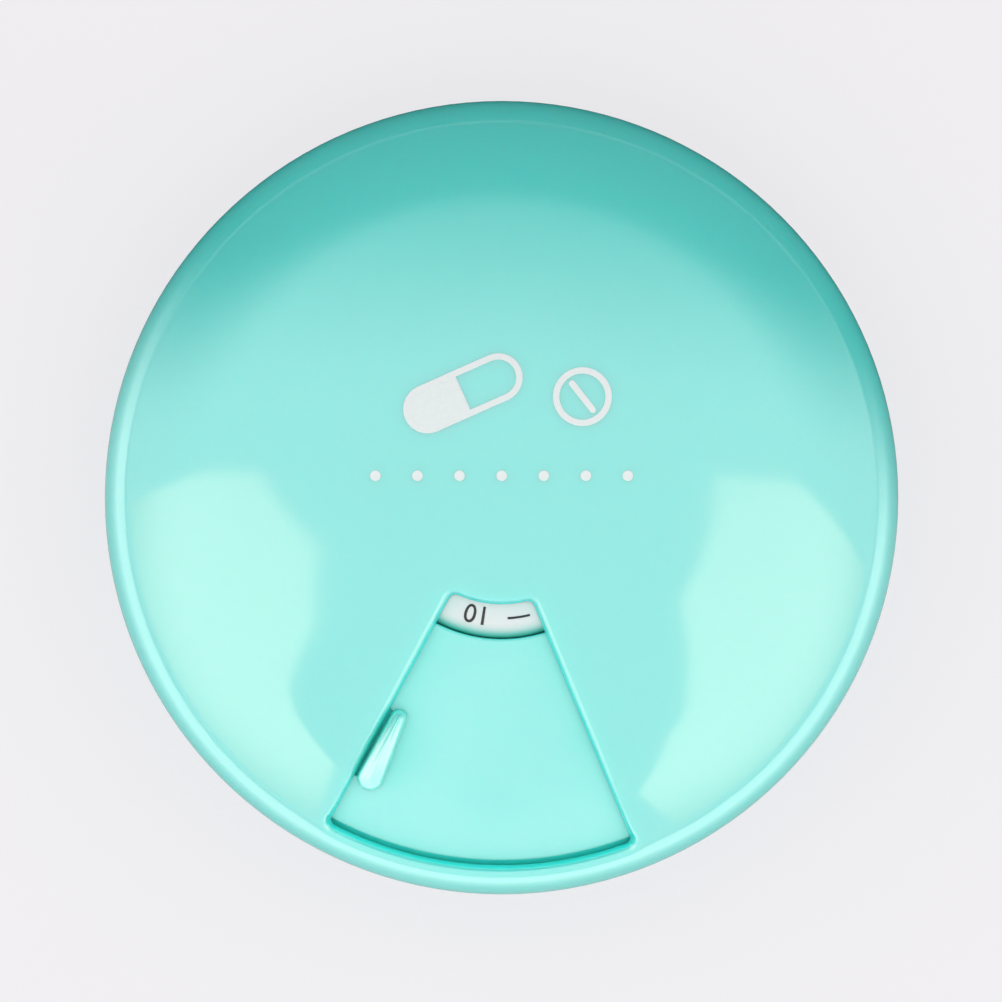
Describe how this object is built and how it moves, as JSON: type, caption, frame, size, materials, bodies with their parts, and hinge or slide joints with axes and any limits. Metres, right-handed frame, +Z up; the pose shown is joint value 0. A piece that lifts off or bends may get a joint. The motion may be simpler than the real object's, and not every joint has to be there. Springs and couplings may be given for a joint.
{
  "type": "weekly pill organizer",
  "caption": "Round rotary pill organizer: a dome with a sliding fan-shaped door turns on a tray of day pockets.",
  "frame": {"origin": "on the table under the middle of the box, at the bottom of its bounding box", "axes": "+Z up along the turning axis of the dome, -Y towards the sliding door, +X to its right seen from above"},
  "size_m": [0.096, 0.096, 0.0305],
  "materials": {
    "mint_shell": "glossy moulded ABS, mint green",
    "mint_door": "satin moulded ABS, mint green",
    "white_plastic": "white moulded plastic",
    "steel": "zinc-plated steel",
    "foot_rubber": "soft grey silicone"
  },
  "bodies": {
    "base": {"base_shell": "mint_shell", "pill_tray": "white_plastic", "tray_hub": "white_plastic", "day_ring": "white_plastic", "tray_screws": "steel", "foot_front_left": "foot_rubber", "foot_front_right": "foot_rubber", "foot_back_right": "foot_rubber", "foot_back_left": "foot_rubber"},
    "lid": {"upper_shell": "mint_shell", "inner_cover": "white_plastic", "cover_screws": "steel", "pivot_screw": "steel", "pivot_washer": "steel", "index_spring": "steel"},
    "door": {"fan_door": "mint_door"}
  },
  "joints": [
    {"name": "lid_turn", "type": "hinge", "parent": "base", "child": "lid", "pos_m": [0, 0, 0], "axis": [0, 0, 1], "continuous": true, "deforming": ["index_spring"]},
    {"name": "door_slide", "type": "hinge", "parent": "lid", "child": "door", "pos_m": [0, 0, 0], "axis": [0, 0, 1], "range_deg": [0, 42]}
  ]
}
